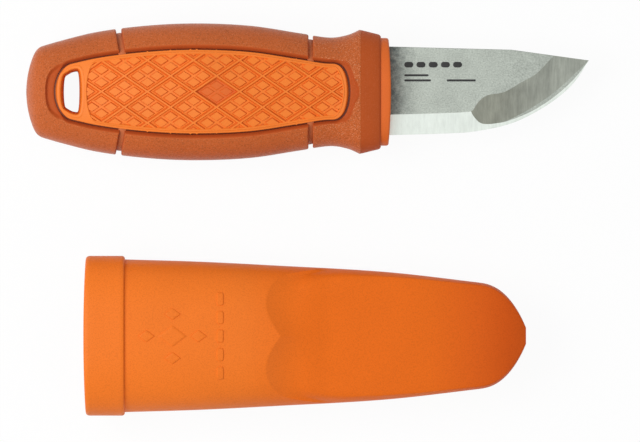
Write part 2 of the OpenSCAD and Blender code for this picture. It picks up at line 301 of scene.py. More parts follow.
class Nodes:
    """A material's node tree, with short calls for the nodes that these finishes share."""

    def __init__(self, name, metallic=0.0, specular=0.5):
        self.material = bpy.data.materials.new(name)
        self.material.use_nodes = True
        self.tree = self.material.node_tree
        self.shader = self.tree.nodes["Principled BSDF"]
        self.shader.inputs["Metallic"].default_value = metallic
        self.shader.inputs["Specular IOR Level"].default_value = specular
        self.coords = self.tree.nodes.new("ShaderNodeTexCoord").outputs["Object"]

    def link(self, output, target):
        self.tree.links.new(output, target)

    def noise(self, scale, detail=3.0, stretch=(1, 1, 1), roughness=0.55):
        """Noise whose scale is in features for each millimetre."""
        mapping = self.tree.nodes.new("ShaderNodeMapping")
        mapping.inputs["Scale"].default_value = stretch
        self.link(self.coords, mapping.inputs["Vector"])
        made = self.tree.nodes.new("ShaderNodeTexNoise")
        made.inputs["Scale"].default_value = scale / MM
        made.inputs["Detail"].default_value = detail
        made.inputs["Roughness"].default_value = roughness
        self.link(mapping.outputs["Vector"], made.inputs["Vector"])
        return made.outputs["Fac"]

    def along(self):
        """The place along X."""
        split = self.tree.nodes.new("ShaderNodeSeparateXYZ")
        self.link(self.coords, split.inputs["Vector"])
        return split.outputs["X"]

    def ramp(self, value, stops):
        made = self.tree.nodes.new("ShaderNodeValToRGB")
        band = made.color_ramp
        while len(band.elements) < len(stops):
            band.elements.new(0.5)
        for element, (position, colour) in zip(band.elements, stops):
            element.position = position
            element.color = (*colour, 1)
        self.link(value, made.inputs["Fac"])
        return made.outputs["Color"]

    def blend(self, factor, first, second, kind="MIX"):
        made = self.tree.nodes.new("ShaderNodeMix")
        made.data_type = "RGBA"
        made.blend_type = kind
        for value, socket in ((factor, 0), (first, 6), (second, 7)):
            if isinstance(value, bpy.types.NodeSocket):
                self.link(value, made.inputs[socket])
            elif socket == 0:
                made.inputs[socket].default_value = value
            else:
                made.inputs[socket].default_value = (*value, 1)
        return made.outputs[2]

    def remap(self, value, from_low, from_high, low, high):
        made = self.tree.nodes.new("ShaderNodeMapRange")
        for name, number in zip(
            ("From Min", "From Max", "To Min", "To Max"), (from_low, from_high, low, high)
        ):
            made.inputs[name].default_value = number
        self.link(value, made.inputs["Value"])
        return made.outputs["Result"]

    def bump(self, height, depth, strength):
        """Bump from a height of 0 to 1, as deep as depth in millimetres."""
        made = self.tree.nodes.new("ShaderNodeBump")
        made.inputs["Strength"].default_value = strength
        made.inputs["Distance"].default_value = depth * MM
        self.link(height, made.inputs["Height"])
        return made.outputs["Normal"]

    def finish(self, colour, roughness, normal):
        self.link(colour, self.shader.inputs["Base Color"])
        self.link(roughness, self.shader.inputs["Roughness"])
        self.link(normal, self.shader.inputs["Normal"])
        return self.material


def shaded(colour, factor):
    return tuple(min(channel * factor, 1) for channel in colour)


def soft_rubber(name, colour, grain_depth, grain_and_painted_glint):
    """Matt rubber with a fine spark grain, and painted glints added to its colour that grow towards the
    guard.
    """
    made = Nodes(name, specular=0.2)
    made.shader.inputs["Sheen Weight"].default_value = 0.04 + 0.2 * grain_and_painted_glint
    made.shader.inputs["Sheen Roughness"].default_value = 0.4
    broad = made.noise(0.06, detail=2)
    grain = made.noise(2.6, detail=4, roughness=0.65)
    tone = made.ramp(broad, [(0.3, shaded(colour, 0.94)), (0.7, shaded(colour, 1.06))])
    low = mix(1, 0.7, grain_and_painted_glint)
    speck = made.ramp(grain, [(0.36, (low, low, low)), (0.5, (1, 1, 1))])
    tone = made.blend(1.0, tone, speck, "MULTIPLY")
    # painted highlight: bright orange specks added to the colour stand in for light glinting off the grain
    painted_glint = made.ramp(made.noise(4.2, detail=1.5), [(0.58, (0, 0, 0)), (0.7, shaded((1, 0.74, 0.5), 0.27))])
    guard = KNIFE_PLACE.x + HANDLE_LENGTH
    painted_glint_amount = made.remap(made.along(), guard - 30 * MM, guard - 9 * MM, 0.35 * grain_and_painted_glint, grain_and_painted_glint)
    tone = made.blend(painted_glint_amount, tone, painted_glint, "ADD")
    rough = made.remap(grain, 0.3, 0.7, 0.82, 0.56)
    return made.finish(tone, rough, made.bump(grain, grain_depth, 0.8))


def hard_plastic(name, colour):
    """Fine satin plastic of the core and its side panels."""
    made = Nodes(name, specular=0.3)
    broad = made.noise(0.09, detail=2)
    grain = made.noise(4.5, detail=2)
    tone = made.ramp(broad, [(0.3, shaded(colour, 0.94)), (0.7, shaded(colour, 1.05))])
    speck = made.ramp(grain, [(0.35, shaded(colour, 0.84)), (0.65, shaded(colour, 1.1))])
    tone = made.blend(0.35, tone, speck)
    rough = made.remap(grain, 0.3, 0.7, 0.42, 0.56)
    return made.finish(tone, rough, made.bump(grain, 0.012, 0.5))


def shell_plastic(colour):
    """The sheath's tough plastic: a very fine moulded grain, and painted shade that darkens the colour
    towards the toe.
    """
    made = Nodes("shell_plastic", specular=0.14)
    broad = made.noise(0.035, detail=3)
    grain = made.noise(3.2, detail=3, roughness=0.6)
    tone = made.ramp(broad, [(0.3, shaded(colour, 0.96)), (0.7, shaded(colour, 1.04))])
    speck = made.ramp(grain, [(0.34, (0.88, 0.86, 0.84)), (0.55, (1, 1, 1))])
    tone = made.blend(1.0, tone, speck, "MULTIPLY")
    # painted shade: the colour darkens along the sheath towards its toe
    start = SHEATH_PLACE.x
    depth = made.remap(made.along(), start, start + SHEATH_LENGTH, 0.0, 1.0)
    painted_toe_shade = made.ramp(depth, [(0.36, (1, 1, 1)), (0.5, (1, 0.86, 0.5)), (0.78, (0.94, 0.78, 0.4)),
                               (0.96, (0.76, 0.5, 0.25))])
    tone = made.blend(1.0, tone, painted_toe_shade, "MULTIPLY")
    scuff = made.noise(0.5, detail=5, stretch=(0.25, 1.6, 1), roughness=0.7)
    rough = made.remap(scuff, 0.35, 0.7, 0.5, 0.41)
    return made.finish(tone, rough, made.bump(grain, 0.03, 0.45))


def steel(name, colour, streak, stretch, rough, depth, contrast=0.2, cloud=0.1, darkening=None):
    """Ground steel: streaks along the grinding, a light cloudy tone, and a darkening towards a place in X."""
    made = Nodes(name, metallic=1.0)
    lines = made.noise(streak, detail=4, stretch=stretch, roughness=0.75)
    clouds = made.noise(0.22, detail=4)
    tone = made.ramp(lines, [(0.32, shaded(colour, 1 - contrast)), (0.68, shaded(colour, 1 + contrast))])
    shade = made.ramp(clouds, [(0.35, shaded((1, 1, 1), 1 - cloud)), (0.6, (1, 1, 1))])
    tone = made.blend(1.0, tone, shade, "MULTIPLY")
    if darkening:
        start, end, darkest = darkening
        wander = made.remap(made.noise(0.7, detail=6, roughness=0.7), 0.3, 0.7, -2 * MM, 2 * MM)
        edge = made.tree.nodes.new("ShaderNodeMath")
        made.link(made.along(), edge.inputs[0])
        made.link(wander, edge.inputs[1])
        fade = made.remap(edge.outputs["Value"], start, end, 0.0, 1.0)
        halfway = [mix(channel, 1, 0.65) for channel in darkest]
        tone = made.blend(1.0, tone, made.ramp(fade, [(0, darkest), (0.5, halfway), (1, (1, 1, 1))]), "MULTIPLY")
    roughness = made.remap(lines, 0.25, 0.75, rough - 0.06, rough + 0.06)
    return made.finish(tone, roughness, made.bump(lines, depth, 0.5))


def flat_steel(colour):
    """The blade's flat: fine bead-blasted speckle, and a dark band of painted reflection next to the collar.
    """
    start = KNIFE_PLACE.x + HANDLE_LENGTH
    # painted reflection: the flat is darkened next to the collar, standing in for the collar mirrored in it
    darkening = (start - 0.5 * MM, start + 6.5 * MM, (0.27, 0.29, 0.31))
    return steel("flat_steel", colour, 3.0, (0.8, 1, 1), rough=0.42, depth=0.006, contrast=0.26, darkening=darkening)


def bevel_steel(colour):
    """The edge bevel: bright, with grinding lines straight across it; its bright colour is partly the ground
    finish and partly painted reflection.
    """
    return steel("bevel_steel", colour, 1.6, (1, 0.05, 1), rough=0.34, depth=0.002, contrast=0.06, cloud=0.04)


def hollow_steel(colour):
    """The hollow ground towards the tip: darker than the flat, partly its grind and partly painted
    reflection, and darker still away from the tip.
    """
    tip = KNIFE_PLACE.x + HANDLE_LENGTH + BLADE_LENGTH
    darkening = (tip - 24 * MM, tip - 6 * MM, (0.82, 0.8, 0.76))
    return steel(
        "hollow_steel", colour, 1.1, (1, 0.08, 1),
        rough=0.4, depth=0.005, contrast=0.16, cloud=0.12, darkening=darkening,
    )


def etched_steel(colour):
    """Dark matt etching."""
    return steel("etched_steel", colour, 5, (1, 1, 1), rough=0.6, depth=0.003)


def floor_paper():
    """White paper, seen nearly as bright as its backdrop, that keeps part of the object's shadow."""
    made = Nodes("floor_paper")
    tree = made.tree
    fibre = made.noise(0.4, detail=3)
    tone = made.ramp(fibre, [(0.3, (0.86, 0.86, 0.86)), (0.7, (0.9, 0.9, 0.9))])
    made.link(tone, made.shader.inputs["Base Color"])
    made.shader.inputs["Roughness"].default_value = 0.9
    made.link(made.bump(fibre, 0.02, 0.2), made.shader.inputs["Normal"])
    light = tree.nodes.new("ShaderNodeEmission")
    seen = tree.nodes.new("ShaderNodeLightPath").outputs["Is Camera Ray"]
    share = made.remap(seen, 0, 1, 0, 0.94)
    both = tree.nodes.new("ShaderNodeMixShader")
    made.link(share, both.inputs["Fac"])
    made.link(made.shader.outputs["BSDF"], both.inputs[1])
    made.link(light.outputs["Emission"], both.inputs[2])
    made.link(both.outputs["Shader"], tree.nodes["Material Output"].inputs["Surface"])
    return made.material


# ---- the sizes and colours that a user would change ----

def length(name, text, value):
    return FloatProperty(name=name, description=text, default=value * MM, unit="LENGTH", subtype="DISTANCE")


def colour(name, text, *value):
    return FloatVectorProperty(
        name=name, description=text, default=srgb(*value), subtype="COLOR", min=0, max=1
    )


def watts(name, text, value):
    return FloatProperty(name=name, description=text, default=value, unit="POWER")


class KnifeHandleSettings(bpy.types.PropertyGroup):
    """Sizes of the handle's outer form, its soft grips and its side panels."""
    handle_length: length("Length", "Butt to the front of the collar", HANDLE_LENGTH / MM)
    butt_width: length("Butt width", "Where the sides would meet the end face", 20.8)
    butt_radius: length("Butt radius", "End face, in plan", 24.5)
    crown_radius: length("Crown radius", "End face, from the side", 12.5)
    belly_width: length("Belly width", "Greatest width", 34.8)
    belly_at: length("Belly place", "Distance from the butt", 43.7)
    waist_width: length("Waist width", "Behind the guard", 27.6)
    waist_back: length("Waist place", "Behind the front of the collar", 15.4)
    guard_width: length("Guard width", "Across the peaks", 31.6)
    guard_back: length("Guard place", "Behind the front of the collar", 7.9)
    guard_front: length("Guard front width", "Where it meets the collar", 29)
    thickness: length("Thickness", "At the belly", 22)
    waist_thickness: length("Waist thickness", "At the waist", 18.6)
    collar_width: length("Collar width", "Hard collar in front of the guard", 27.4)
    collar_thickness: length("Collar thickness", "Hard collar in front of the guard", 15.6)
    collar_length: length("Collar length", "Hard collar in front of the guard", 2)
    rim: length("Rim", "Soft rim round each side panel", 6)
    panel_start: length("Panel start", "Distance from the butt", 7.5)
    panel_back: length("Panel end", "Behind the front of the collar", 10.7)
    panel_drop: length("Panel drop", "Depth of the panels and grooves below the rubber", 0.45)
    rubber: colour("Rubber", "Soft grips", 190, 93, 40)
    # the smooth rubber has no grain; its darker colour is painted shade in the hollows, on the lips and on
    # the guard's front
    smooth: colour("Smooth rubber", "Lips, hollows and the guard's front", 182, 80, 28)
    plastic: colour("Plastic", "Hard core and side panels", 238, 124, 40)
    # painted shade: a darker copy of the plastic on the steep sides of the diamonds, in the sunk cell and on
    # the collar
    relief: colour("Relief", "Steep sides of the diamonds, and the collar", 220, 103, 34)
    # painted shadow: a dark brown copy of the plastic stands in for the shade deep in the gaps round the
    # panels
    covered: colour("Covered core", "Core deep in the gaps round the panels", 112, 46, 17)
    # the ribs' dull brownish tone is painted shade for the deep narrow grooves
    groove: colour("Grooves", "Ribs at the bottom of the grooves", 196, 108, 62)


class KnifeBladeSettings(bpy.types.PropertyGroup):
    """Sizes and finishes of the blade."""
    blade_length: length("Length", "Collar to the tip", BLADE_LENGTH / MM)
    depth: length("Depth", "Back to edge at the collar", 22.5)
    thickness: length("Thickness", "At the back", 2)
    bevel: length("Bevel", "Height of the edge bevel", 5.2)
    tip_rise: length("Tip height", "Above the handle's middle line", 8)
    flat: colour("Flat", "Speckled flat of the blade", 164, 170, 162)
    # the bevel's brightness and the hollow's darkness are partly their grind and partly painted reflection
    ground: colour("Bevel", "Bright bevel along the edge", 218, 225, 218)
    hollow: colour("Hollow", "Darker grind behind the tip", 149, 153, 144)
    etching: colour("Etching", "Plain etched marks", 62, 62, 62)


class KnifeSheathSettings(bpy.types.PropertyGroup):
    """Sizes and colour of the sheath."""
    sheath_length: length("Length", "Mouth to the toe", SHEATH_LENGTH / MM)
    mouth_width: length("Mouth width", "Across the raised band", 40.6)
    mouth_thickness: length("Mouth thickness", "Across the raised band", 27.8)
    band: length("Band length", "Raised band round the mouth", 10.4)
    band_step: length("Band step", "Height of the band above the body", 0.9)
    guard_width: length("Width at the guard", "Where the scoop begins", 35.8)
    toe_width: length("Toe width", "Where the toe starts to round", 28.3)
    toe_thickness: length("Toe thickness", "Over the blade", 9)
    drain: length("Drain radius", "Hole through the toe", 1.8)
    relief: length("Relief", "Height of the plain moulded marks", 0.28)
    shell: colour("Shell", "Moulded shell", 236, 119, 36)


class KnifeStageSettings(bpy.types.PropertyGroup):
    """The camera, the floor and the lamps."""
    reach: length("View width", "Width that the camera takes in", 162.7)
    view_height: length("View plane", "Height above the floor at which that width is measured", 12)
    focal: FloatProperty(name="Focal length", description="Lens, in millimetres", default=1000)
    key_power: watts("Key lamp", "Power of the large overhead lamp", 1.98)
    fill_power: watts("Fill lamp", "Power of the low side lamp", 0.25)
    ambient: FloatProperty(name="Ambient", description="Brightness of the white room", default=0.5)
    world: colour("Room", "The white room", 255, 255, 255)


class Sizes:
    """A property group's lengths in millimetres, and its colours."""

    def __init__(self, group):
        for name, prop in group.bl_rna.properties.items():
            if prop.type != "FLOAT":
                continue
            value = getattr(group, name)
            if prop.subtype == "COLOR":
                value = tuple(value)
            elif prop.unit == "LENGTH":
                value /= MM
            setattr(self, name, value)


# ---- the handle's form ----

PANEL_ROUND = (4, 4.5)    # how far each end of a panel is rounded


class Handle(Sizes):
    """The handle's outer form: x from the butt, y and z from its middle line."""

    def __init__(self, group):
        super().__init__(group)
        self.waist_at = self.handle_length - self.waist_back
        self.guard_at = self.handle_length - self.guard_back
        self.collar_at = self.handle_length - self.collar_length
        self.panel_end = self.handle_length - self.panel_back
        butt, belly, waist, guard = self.butt_width, self.belly_width, self.waist_width, self.guard_width
        self.side_knots = [
            (0, butt / 2),
            (0.2 * self.belly_at, mix(butt, belly, 0.37) / 2),
            (0.42 * self.belly_at, mix(butt, belly, 0.7) / 2),
            (0.72 * self.belly_at, mix(butt, belly, 0.93) / 2),
            (self.belly_at, belly / 2),
            (mix(self.belly_at, self.waist_at, 0.4), mix(belly, waist, 0.17) / 2),
            (mix(self.belly_at, self.waist_at, 0.77), mix(belly, waist, 0.69) / 2),
            (self.waist_at, waist / 2),
            (mix(self.waist_at, self.guard_at, 0.6), mix(waist, guard, 0.35) / 2),
            (self.guard_at, guard / 2),
        ]
        self.thick_knots = [
            (0, self.thickness / 2 - 2),
            (self.belly_at, self.thickness / 2),
            (self.waist_at, self.waist_thickness / 2),
            (self.guard_at, self.waist_thickness / 2 + 0.4),
        ]

    def half(self, x):
        if x > self.guard_at:
            slope = (x - self.guard_at) / (self.collar_at - self.guard_at)
            return mix(self.guard_width, self.guard_front, slope) / 2
        side = curve(self.side_knots, x)
        if x < self.butt_radius:
            side = soft_min(math.sqrt(max(x * (2 * self.butt_radius - x), 0)), side, 2)
        return max(side, 0.001)

    def thick(self, x):
        if x > self.guard_at:
            slope = (x - self.guard_at) / (self.collar_at - self.guard_at)
            return mix(curve(self.thick_knots, self.guard_at), self.collar_thickness / 2 + 0.8, slope)
        body = curve(self.thick_knots, x)
        if x < self.crown_radius:
            body = soft_min(math.sqrt(max(x * (2 * self.crown_radius - x), 0)), body, 3)
        return max(body, 0.001)

    def surface(self, spot, drop=0.0):
        """The point of the form over a spot in plan, moved inwards by drop."""
        half, thick = self.half(spot.x), self.thick(spot.x)
        ratio = max(min(spot.y / half, 1), -1)
        return Vector((spot.x, (half - drop) * ratio, (thick - drop) * rise(ratio)))

    def window_half(self, x, gap=0.0):
        """Half width of the side panel, or of the opening that it stands in."""
        near = end_round(x - self.panel_start + gap, PANEL_ROUND[0] + gap)
        far = end_round(self.panel_end + gap - x, PANEL_ROUND[1] + gap)
        return (self.half(x) - self.rim + gap) * near * far

    def window(self, start, end, side, gap=0.0, count=240):
        """The panel's outline along one side."""
        steps = [mix(start, end, (1 - math.cos(math.pi * i / count)) / 2) for i in range(count + 1)]
        return [Vector((x, side * self.window_half(x, gap))) for x in steps]

    def outline(self, start, end, side, count=200):
        """The handle's own outline along one side; it starts as finely as the butt is round."""
        crowd = 2 if start <= 0 else 1
        steps = [mix(start, end, (i / count) ** crowd) for i in range(count + 1)]
        return [Vector((x, side * self.half(x))) for x in steps]


COLLAR_BOW = 0.63                   # how far the collar bows forwards
COLLAR_RISE = 0.3                   # how much it stands out beyond its own thickness, on each face
COLLAR_SQUARE = 2.7                 # squareness of its section
GUARD_BACK = 0.65                   # how far the guard's front edge lies behind its place in the frame
REAR_GROOVE = (23.45, 1.4, 0.18)    # distance from the butt at the outline, width, lean
FRONT_GROOVE = (72.3, 1.1, 0.0)
WINDOW_GAP = 0.42                   # between a panel and the rubber round it
GRIP_DEPTH = 1.3                    # thickness of the rubber
LIP = lip(0.42, GRIP_DEPTH)


def groove_x(groove, offset, y, half):
    at, _width, lean = groove
    return at + offset + lean * max(half - abs(y), 0)


def groove_spot(handle, groove, offset, side, gap=None):
    """Where a groove's edge meets the outline, or the panel's opening when a gap is given."""
    x = groove[0] + offset
    half = handle.half(x)
    if gap is None:
        return Vector((x, side * half))
    for _ in range(6):
        x = groove_x(groove, offset, handle.window_half(x, gap), half)
    return Vector((x, side * handle.window_half(x, gap)))


COVE = (1.05, 0.45)                        # depth of the hollows at a panel's ends, width of their outer wall
COVES = ((-1, 8.0, 1.7), (1, 9.0, 1.9))    # end of the panel, half width, greatest reach from the panel


def cove(handle, spot, distance):
    """Extra drop of the rubber where it dips towards the two ends of a panel."""
    drop = 0.0
    for end, half, reach in COVES:
        inwards = spot.x - handle.panel_start if end < 0 else handle.panel_end - spot.x
        share = ease(1.3 * (1 - (spot.y / half) ** 2)) * (1 - ease((inwards - 0.6) / 3.4))
        drop = max(drop, COVE[0] * ease(2 * share) * (1 - ease((distance - reach * share) / COVE[1])))
    return drop


def is_smooth_and_shaded(handle, centre):
    """Whether the rubber has no grain and a darker colour of painted shade: in the hollows, on the lips, and
    in front of the guard's crest.
    """
    face_from, lip_drop = 2.5, 0.14
    full = handle.surface(Vector((centre.x, centre.y))).z
    sunk = full > face_from and full - abs(centre.z) > lip_drop
    return sunk or centre.x > handle.guard_at + 0.15


def grip_half(handle, inner, outer):
    """The upper half of a soft grip, from the panel's opening to the outline, with its inner face."""
    crowd = 2.3    # gathers the rows where the form turns down at the outline
    rows = 64
    columns = len(inner) - 1
    edge = len(LIP) - 1

    def place(column, row, skin):
        (foot, end_drop), (rim, _drop) = inner[column], outer[column]
        reach = (rim - foot).length
        if row <= edge:
            distance, side_drop = LIP[row]
        else:
            share = (row - edge) / rows
            distance, side_drop = mix(LIP[-1][0], reach, 1 - (1 - share) ** crowd), 0.0
        spot = foot.lerp(rim, distance / reach)
        drop = math.hypot(end_drop, side_drop) + cove(handle, spot, distance) if skin else GRIP_DEPTH
        floor = GRIP_DEPTH if row == 0 or not skin or end_drop == GRIP_DEPTH else GRIP_DEPTH - 0.1
        point = handle.surface(spot, min(drop, floor))
        if row == rows + edge and rim.x < handle.guard_at - 0.001:
            point.z = 0
        return point

    whole = grid(columns, rows + edge, lambda column, row: place(column, row, True))
    under = grid(columns, rows + edge, lambda column, row: place(column, row, False))
    return whole, under


def side_grip(handle, side):
    """One long grip between the grooves, along the back or the edge side."""
    ends = ((REAR_GROOVE, REAR_GROOVE[1] / 2), (FRONT_GROOVE, -FRONT_GROOVE[1] / 2))
    feet = [groove_spot(handle, groove, offset, side, WINDOW_GAP) for groove, offset in ends]
    rims = [groove_spot(handle, groove, offset, side) for groove, offset in ends]
    inner = handle.window(feet[0].x, feet[1].x, side, WINDOW_GAP)
    outer = handle.outline(rims[0].x, rims[1].x, side)
    skin, under = grip_half(handle, lipped_points(inner, LIP, 96), lipped_points(outer, LIP, 96))
    absorb(skin, under)
    return closed(mirrored(skin))


def butt_end(handle):
    """The grip round the butt, from one rear groove to the other."""
    offset = -REAR_GROOVE[1] / 2
    foot = groove_spot(handle, REAR_GROOVE, offset, 1, WINDOW_GAP)
    rim = groove_spot(handle, REAR_GROOVE, offset, 1)
    start = handle.panel_start - WINDOW_GAP
    inner_half = handle.window(start, foot.x, 1, WINDOW_GAP)
    outer_half = handle.outline(0, rim.x, 1)

    inner, outer = (lipped_points(both_sides(half[::-1]), LIP, 150) for half in (inner_half, outer_half))
    skin, under = grip_half(handle, inner, outer)
    absorb(skin, under)
    return closed(mirrored(skin))


END_STEPS = 64    # points across the guard's grip, from side to side


def guard_end(handle):
    """The grip round the waist and the guard, whose front slopes down to the collar."""
    offset = FRONT_GROOVE[1] / 2
    foot = groove_spot(handle, FRONT_GROOVE, offset, 1, WINDOW_GAP)
    rim = groove_spot(handle, FRONT_GROOVE, offset, 1)
    corner = handle.panel_end - 1.4
    crest, collar = handle.guard_at, handle.collar_at
    half, thick = handle.half(crest), handle.thick(crest)
    inner_end = both_sides(handle.window(corner, handle.panel_end + WINDOW_GAP, 1, WINDOW_GAP))
    outer_end = [Vector((crest, half * on_section(math.pi * i / END_STEPS)[0])) for i in range(END_STEPS + 1)]

    def whole(side, end):
        first = lipped_points(side, LIP, 26, at_end=False)
        last = [(Vector((spot.x, -spot.y)), drop) for spot, drop in reversed(first)]
        return first + [(spot, 0.0) for spot in end[1:-1]] + last

    inner = whole(handle.window(foot.x, corner, 1, WINDOW_GAP), even_points(inner_end, END_STEPS))
    outer = whole(handle.outline(rim.x, crest, 1), outer_end)
    skin, under = grip_half(handle, inner, outer)
    mirrored(skin)
    front = [e for e in skin.edges if e.is_boundary and all(v.co.x > crest - 0.01 for v in e.verts)]
    # (place, drop) of the rings down the guard's front, over its edge and back under the rubber
    nose = [(crest + 0.25, 0.05), (crest + 0.7, 0), (crest + 1.6, 0), (mix(crest, collar, 0.55), 0),
            (collar - 0.6, 0), (collar - 0.15, 0.12), (collar + 0.1, 0.45), (collar + 0.1, GRIP_DEPTH),
            (crest + 1, GRIP_DEPTH), (crest, GRIP_DEPTH)]
    half_before, thick_before = half, thick
    for x, drop in nose:
        made = bmesh.ops.extrude_edge_only(skin, edges=front)["geom"]
        half_now, thick_now = handle.half(x) - drop, handle.thick(x) - drop
        back = GUARD_BACK * (x - crest) / (collar - crest)
        for vert in (g for g in made if isinstance(g, bmesh.types.BMVert)):
            across = vert.co.y / half_before
            vert.co = Vector((x - back, across * half_now, vert.co.z * thick_now / thick_before))
        front = [g for g in made if isinstance(g, bmesh.types.BMEdge)]
        half_before, thick_before = half_now, thick_now
    absorb(skin, mirrored(under))
    return closed(skin, 0.01)


# ---- the hard core ----

PLAIN, SHADED_RIBS, PAINTED_SHADOW, SHADED_COLLAR = range(4)    # the core's colours, by index: the plain plastic and three darker copies of painted shade
RELIEF_SHADE = 1                                 # and the panels' darker colour, painted shade

SLOT_KNOTS = [(8.95, 3.9), (10.2, 4.7), (11.6, 5.5), (12.8, 5.75), (14.1, 5.65)]    # x, half width
SLOT_MIDDLE = 11.6
FIELD = (15.5, 80.5)          # the textured field's start and end
FIELD_FRAME = 1.5             # width of the plain frame beside it
FIELD_ROUND = 2.6             # how its ends are rounded
LATTICE_START = 19.2          # a crossing on the middle line
LATTICE = (5.85, 4.1)         # half a diamond's length and width
LATTICE_STEP = 1 / math.hypot(1 / LATTICE[0], 1 / LATTICE[1])    # half the distance between two lines
STUD_AT, STUD = 0.41, 0.335   # place and half size of the studs, in shares of that
SUNK_CELL = (5, 5)            # the cell that lies deeper than the rest
FIELD_DROP = 0.45             # the pattern's floor, below the panel's frame
LINE = (0.42, 0.2, 0.4)       # height of the crossing lines, half width of their tops and of their feet
SHOULDER = (0.13, 0.62, 0.06, 0.12)    # the low step beside a line: height, place, half width, slope
STUD_HEIGHT, STUD_SLOPE = 0.36, 0.2
STEEP = 0.15                  # a face that climbs more than this gets the darker colour of painted shade


def slot_outline(spread=0.0, count=72):
    """The lanyard slot's outline, made larger or smaller by spread."""
    start, end = SLOT_KNOTS[0][0] - spread, SLOT_KNOTS[-1][0] + spread
    corner = 0.9 + spread * 0.6

    def half(x):
        inner = min(max(x, SLOT_KNOTS[0][0]), SLOT_KNOTS[-1][0])
        shape = end_round(x - start, corner) * end_round(end - x, corner)
        return (curve(SLOT_KNOTS, inner) + spread) * shape

    steps = [mix(start, end, (1 - math.cos(math.pi * i / 60)) / 2) for i in range(61)]
    return even_points(both_sides([Vector((x, half(x))) for x in steps]), count)


def bump_line(distance, width):
    return 1 - ease(abs(distance) / width)


def field_inside(handle, x, y):
    """Distance in from the textured field's outline, negative outside it."""
    start, end = FIELD
    wide = handle.window_half(x) - FIELD_FRAME
    along = min(x - start, end - x)
    across = wide * end_round(along, FIELD_ROUND) - abs(y)
    if abs(y) >= wide:
        return across + min(along, 0)
    turn = FIELD_ROUND * (1 - (1 - (y / wide) ** 2) ** (1 / ROUND_POWER))
    if along <= 0:
        return along - turn
    return (along - turn) * abs(across) / max(math.hypot(along - turn, across), 0.001)


BORDER = (0.16, 0.25, 0.3)    # the raised line round the field: height, distance outside, half width


def frame_relief(handle, x, y):
    """Height of a side panel: level round its rim and its slot, with a raised line round the sunk field."""
    inside = field_inside(handle, x, y)
    height, outside, half = BORDER
    pit = 0.52 * ease((inside + 0.02) / 0.12) + 0.43 * ease((inside - 1) / 0.5)
    return height * bump_line(inside + outside, half) - pit


def lattice_relief(offsets, sunk):
    """Height of the diamond pattern; offsets run from -1 to 1 between the lines, both ways."""
    to_line = min(1 - abs(offset) for offset in offsets) * LATTICE_STEP
    height, top, foot = LINE
    lines = height * (1 - ease((to_line - top) / (foot - top)))
    step, at, half, slope = SHOULDER
    shoulders = step * (1 - ease((abs(to_line - at) - half) / slope))
    inside = (STUD - max(abs(abs(offset) - STUD_AT) for offset in offsets)) * LATTICE_STEP
    studs = STUD_HEIGHT * ease(inside / STUD_SLOPE)
    if sunk:
        return lines + 0.6 * studs - 0.38 * ease((to_line - 0.35) / 0.25)
    return max(lines, shoulders, studs)


def lattice_stops():
    """Places between two lines, in shares of -1 to 1, at which the pattern's height turns."""
    start, end = (1 - STUD_AT - STUD) * LATTICE_STEP, (1 - STUD_AT + STUD) * LATTICE_STEP
    _height, line_top, line_foot = LINE
    _step, at, half, slope = SHOULDER
    marks = [0, line_top, line_foot, at - slope, at - half, at + half, at + half + slope]
    marks += [start, start + STUD_SLOPE, mix(start, end, 0.5), end - STUD_SLOPE, end]
    near = [mark / LATTICE_STEP - 1 for mark in marks]
    return near + [0] + [-value for value in reversed(near)]


def lattice_field(handle):
    """The field of diamonds: a grid along both sets of lines, which ends just under the panel's frame."""
    stops = lattice_stops()
    count = len(stops) - 1
    cells = range(-2, 7)

    def value(index):
        cell, step = divmod(index, count)
        return 2 * (cells[0] + cell) + 1, stops[step]

    def place(column, row):
        first, second = sum(value(column)), sum(value(row))
        spot = Vector((LATTICE_START + LATTICE[0] * (first + second) / 2, LATTICE[1] * (first - second) / 2))
        return handle.surface(spot, handle.panel_drop + FIELD_DROP - height(column, row))

    def height(column, row):
        (along, part), (across, other) = value(column), value(row)
        return lattice_relief((part, other), (along, across) == SUNK_CELL)

    # the sunk cell and the steep faces get the darker colour, painted shade
    def paint(column, row):
        corners = [height(column + i, row + j) for i in (0, 1) for j in (0, 1)]
        is_sunk = min(corners) < -0.05
        return RELIEF_SHADE if is_sunk or max(corners) - min(corners) > STEEP else PLAIN

    mesh = grid(count * len(cells), count * len(cells), place, paint)

    def outside(face):
        centre = face.calc_center_median()
        return field_inside(handle, centre.x, centre.y) < -0.4

    bmesh.ops.delete(mesh, geom=[face for face in mesh.faces if outside(face)], context="FACES")
    skirt = [edge for edge in mesh.edges if edge.is_boundary]
    made = bmesh.ops.extrude_edge_only(mesh, edges=skirt)["geom"]
    bmesh.ops.translate(mesh, vec=(0, 0, -0.8), verts=[g for g in made if isinstance(g, bmesh.types.BMVert)])
    bmesh.ops.holes_fill(mesh, edges=[edge for edge in mesh.edges if edge.is_boundary])
    bmesh.ops.recalc_face_normals(mesh, faces=mesh.faces)
    return mesh


